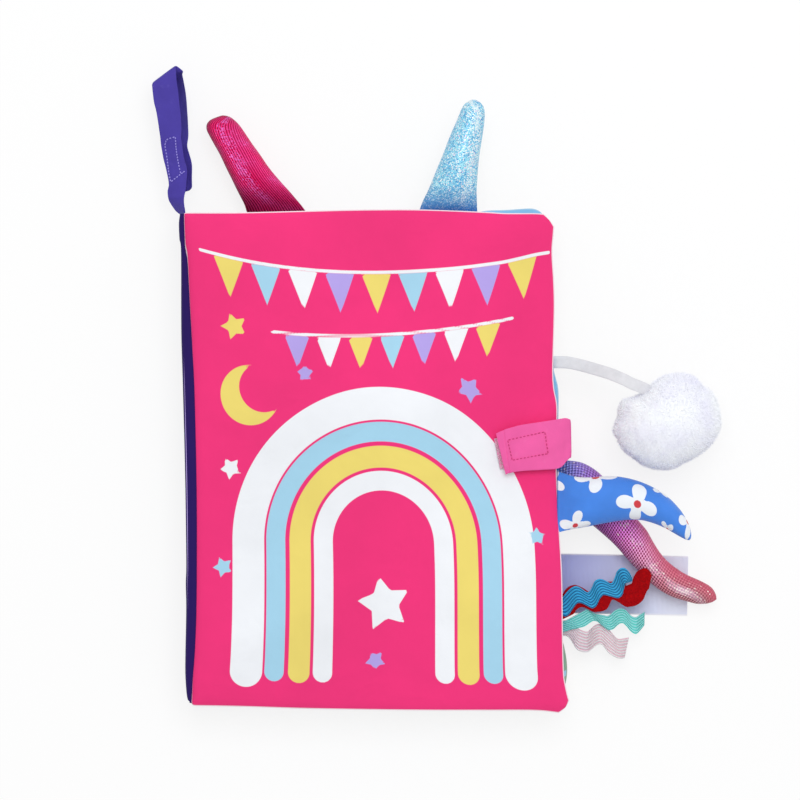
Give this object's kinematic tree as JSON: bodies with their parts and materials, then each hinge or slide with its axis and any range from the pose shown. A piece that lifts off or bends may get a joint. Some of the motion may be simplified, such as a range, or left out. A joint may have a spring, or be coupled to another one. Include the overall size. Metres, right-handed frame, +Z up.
{
  "type": "crinkle cloth book",
  "caption": "Soft cloth book for a baby with padded crinkle pages, stuffed horns and tails, a pompom, wavy trims, a hang strap and a closing strap.",
  "frame": {"origin": "middle of the back cover's flat outer face, on which the closed book lies", "axes": "+Z up through the closed book to the front cover, +X from the spine to the fore edge, +Y to the top edge"},
  "size_m": [0.2673, 0.3009, 0.046],
  "materials": {
    "pink_cotton": "printed cotton blend, hot pink",
    "blue_cotton": "printed cotton blend, light blue",
    "mint_cotton": "printed cotton blend, mint",
    "lilac_cotton": "printed cotton blend, lilac",
    "yellow_cotton": "printed cotton blend, yellow",
    "indigo_cotton": "printed cotton blend, dark indigo",
    "flower_cotton": "printed satin cotton, blue with white flowers",
    "magenta_foil": "ribbed metallic cloth, magenta",
    "glitter_foil": "glitter cloth, light blue",
    "scale_foil": "dotted metallic cloth, purple to coral",
    "purple_strap": "folded cotton strap, purple",
    "pink_strap": "folded cotton strap, pink",
    "purple_hook_loop": "hook and loop tape, purple",
    "pink_hook_loop": "hook and loop tape, pale pink",
    "crinkle_film": "thin crumpled plastic film, clear",
    "wadding": "soft polyester fibre, white",
    "white_pile": "fluffy fibre pile, white",
    "satin_ribbon": "satin ribbon, silver white",
    "blue_braid": "wavy flat braid, blue",
    "mint_braid": "wavy flat braid, mint",
    "pink_braid": "wavy flat braid, light pink",
    "red_felt": "felt, dark red",
    "label_satin": "satin label, pale lavender, blank"
  },
  "bodies": {
    "back_cover": {"back_cover_outer_panel": "pink_cotton", "back_cover_inner_panel": "lilac_cotton", "back_cover_crinkle_film": "crinkle_film", "back_cover_wadding": "wadding", "side_label": "label_satin"},
    "spine": {"spine_outer_panel": "indigo_cotton", "spine_lining": "lilac_cotton"},
    "front_cover": {"front_cover_outer_panel": "pink_cotton", "front_cover_inner_panel": "blue_cotton", "front_cover_crinkle_film": "crinkle_film", "front_cover_wadding": "wadding", "closing_loop_patch": "pink_hook_loop"},
    "leaf_1": {"leaf_1_front_panel": "blue_cotton", "leaf_1_back_panel": "lilac_cotton", "leaf_1_crinkle_film": "crinkle_film", "leaf_1_wadding": "wadding"},
    "leaf_2": {"leaf_2_front_panel": "lilac_cotton", "leaf_2_back_panel": "mint_cotton", "leaf_2_crinkle_film": "crinkle_film", "leaf_2_wadding": "wadding", "blue_rickrack": "blue_braid", "red_felt_wave": "red_felt", "mint_rickrack": "mint_braid", "pink_rickrack": "pink_braid"},
    "leaf_3": {"leaf_3_front_panel": "mint_cotton", "leaf_3_back_panel": "yellow_cotton", "leaf_3_crinkle_film": "crinkle_film", "leaf_3_wadding": "wadding", "scale_tail_shell": "scale_foil", "scale_tail_filling": "wadding"},
    "leaf_4": {"leaf_4_front_panel": "yellow_cotton", "leaf_4_back_panel": "lilac_cotton", "leaf_4_crinkle_film": "crinkle_film", "leaf_4_wadding": "wadding"},
    "ribbed_horn": {"ribbed_horn_shell": "magenta_foil", "ribbed_horn_filling": "wadding"},
    "glitter_horn": {"glitter_horn_shell": "glitter_foil", "glitter_horn_filling": "wadding"},
    "flower_tail": {"flower_tail_shell": "flower_cotton", "flower_tail_filling": "wadding"},
    "pompom": {"pompom": "white_pile", "pompom_ribbon": "satin_ribbon"},
    "hang_strap": {"hang_strap": "purple_strap", "hang_hook_patch": "purple_hook_loop", "hang_loop_patch": "purple_hook_loop"},
    "closing_strap": {"closing_strap_base": "pink_strap"},
    "closing_tab": {"closing_strap_tab": "pink_strap", "closing_hook_patch": "pink_hook_loop"}
  },
  "joints": [
    {"name": "book_open", "type": "hinge", "parent": "back_cover", "child": "spine", "pos_m": [-0.0898, 0, 0.001], "axis": [0, -1, 0], "range_deg": [0, 90]},
    {"name": "front_cover_turn", "type": "hinge", "parent": "spine", "child": "front_cover", "pos_m": [-0.0898, 0, 0.0262], "axis": [0, -1, 0], "range_deg": [0, 90]},
    {"name": "leaf_1_turn", "type": "hinge", "parent": "spine", "child": "leaf_1", "pos_m": [-0.0883, 0, 0.0205], "axis": [0, -1, 0], "range_deg": [0, 54]},
    {"name": "leaf_2_turn", "type": "hinge", "parent": "spine", "child": "leaf_2", "pos_m": [-0.0883, 0, 0.0159], "axis": [0, -1, 0], "range_deg": [0, 18]},
    {"name": "leaf_3_turn", "type": "hinge", "parent": "spine", "child": "leaf_3", "pos_m": [-0.0883, 0, 0.0113], "axis": [0, -1, 0], "range_deg": [-18, 0]},
    {"name": "leaf_4_turn", "type": "hinge", "parent": "spine", "child": "leaf_4", "pos_m": [-0.0883, 0, 0.0067], "axis": [0, -1, 0], "range_deg": [-54, 0]},
    {"name": "flower_tail_flop", "type": "hinge", "parent": "front_cover", "child": "flower_tail", "pos_m": [0.0866, -0.0209, 0.0251], "axis": [0, -1, 0], "range_deg": [-25, 0]},
    {"name": "ribbed_horn_flop", "type": "hinge", "parent": "leaf_3", "child": "ribbed_horn", "pos_m": [-0.0444, 0.1154, 0.0113], "axis": [1, 0, 0], "range_deg": [0, 40]},
    {"name": "glitter_horn_flop", "type": "hinge", "parent": "leaf_1", "child": "glitter_horn", "pos_m": [0.0365, 0.1154, 0.0205], "axis": [1, 0, 0], "range_deg": [0, 40]},
    {"name": "pompom_swing", "type": "hinge", "parent": "leaf_1", "child": "pompom", "pos_m": [0.0868, 0.0446, 0.0205], "axis": [0, -1, 0], "range_deg": [0, 60]},
    {"name": "hang_strap_swing", "type": "hinge", "parent": "spine", "child": "hang_strap", "pos_m": [-0.0898, 0.1154, 0.0136], "axis": [0, 0, 1], "range_deg": [-8, 40]},
    {"name": "closing_strap_fold", "type": "hinge", "parent": "back_cover", "child": "closing_strap", "pos_m": [0.089, 0.0084, 0.0029], "axis": [0, 1, 0], "range_deg": [0, 90], "deforming": ["closing_strap_base"]},
    {"name": "closing_tab_peel", "type": "hinge", "parent": "closing_strap", "child": "closing_tab", "pos_m": [0.089, 0.0084, 0.0285], "axis": [0, 1, 0], "range_deg": [0, 90], "deforming": ["closing_strap_tab", "closing_hook_patch"]}
  ],
  "couplings": [
    {"joint": "front_cover_turn", "follows": "book_open", "ratio": 1},
    {"joint": "leaf_1_turn", "follows": "book_open", "ratio": 0.6},
    {"joint": "leaf_2_turn", "follows": "book_open", "ratio": 0.2},
    {"joint": "leaf_3_turn", "follows": "book_open", "ratio": -0.2},
    {"joint": "leaf_4_turn", "follows": "book_open", "ratio": -0.6},
    {"joint": "flower_tail_flop", "follows": "book_open", "ratio": -0.2777}
  ]
}
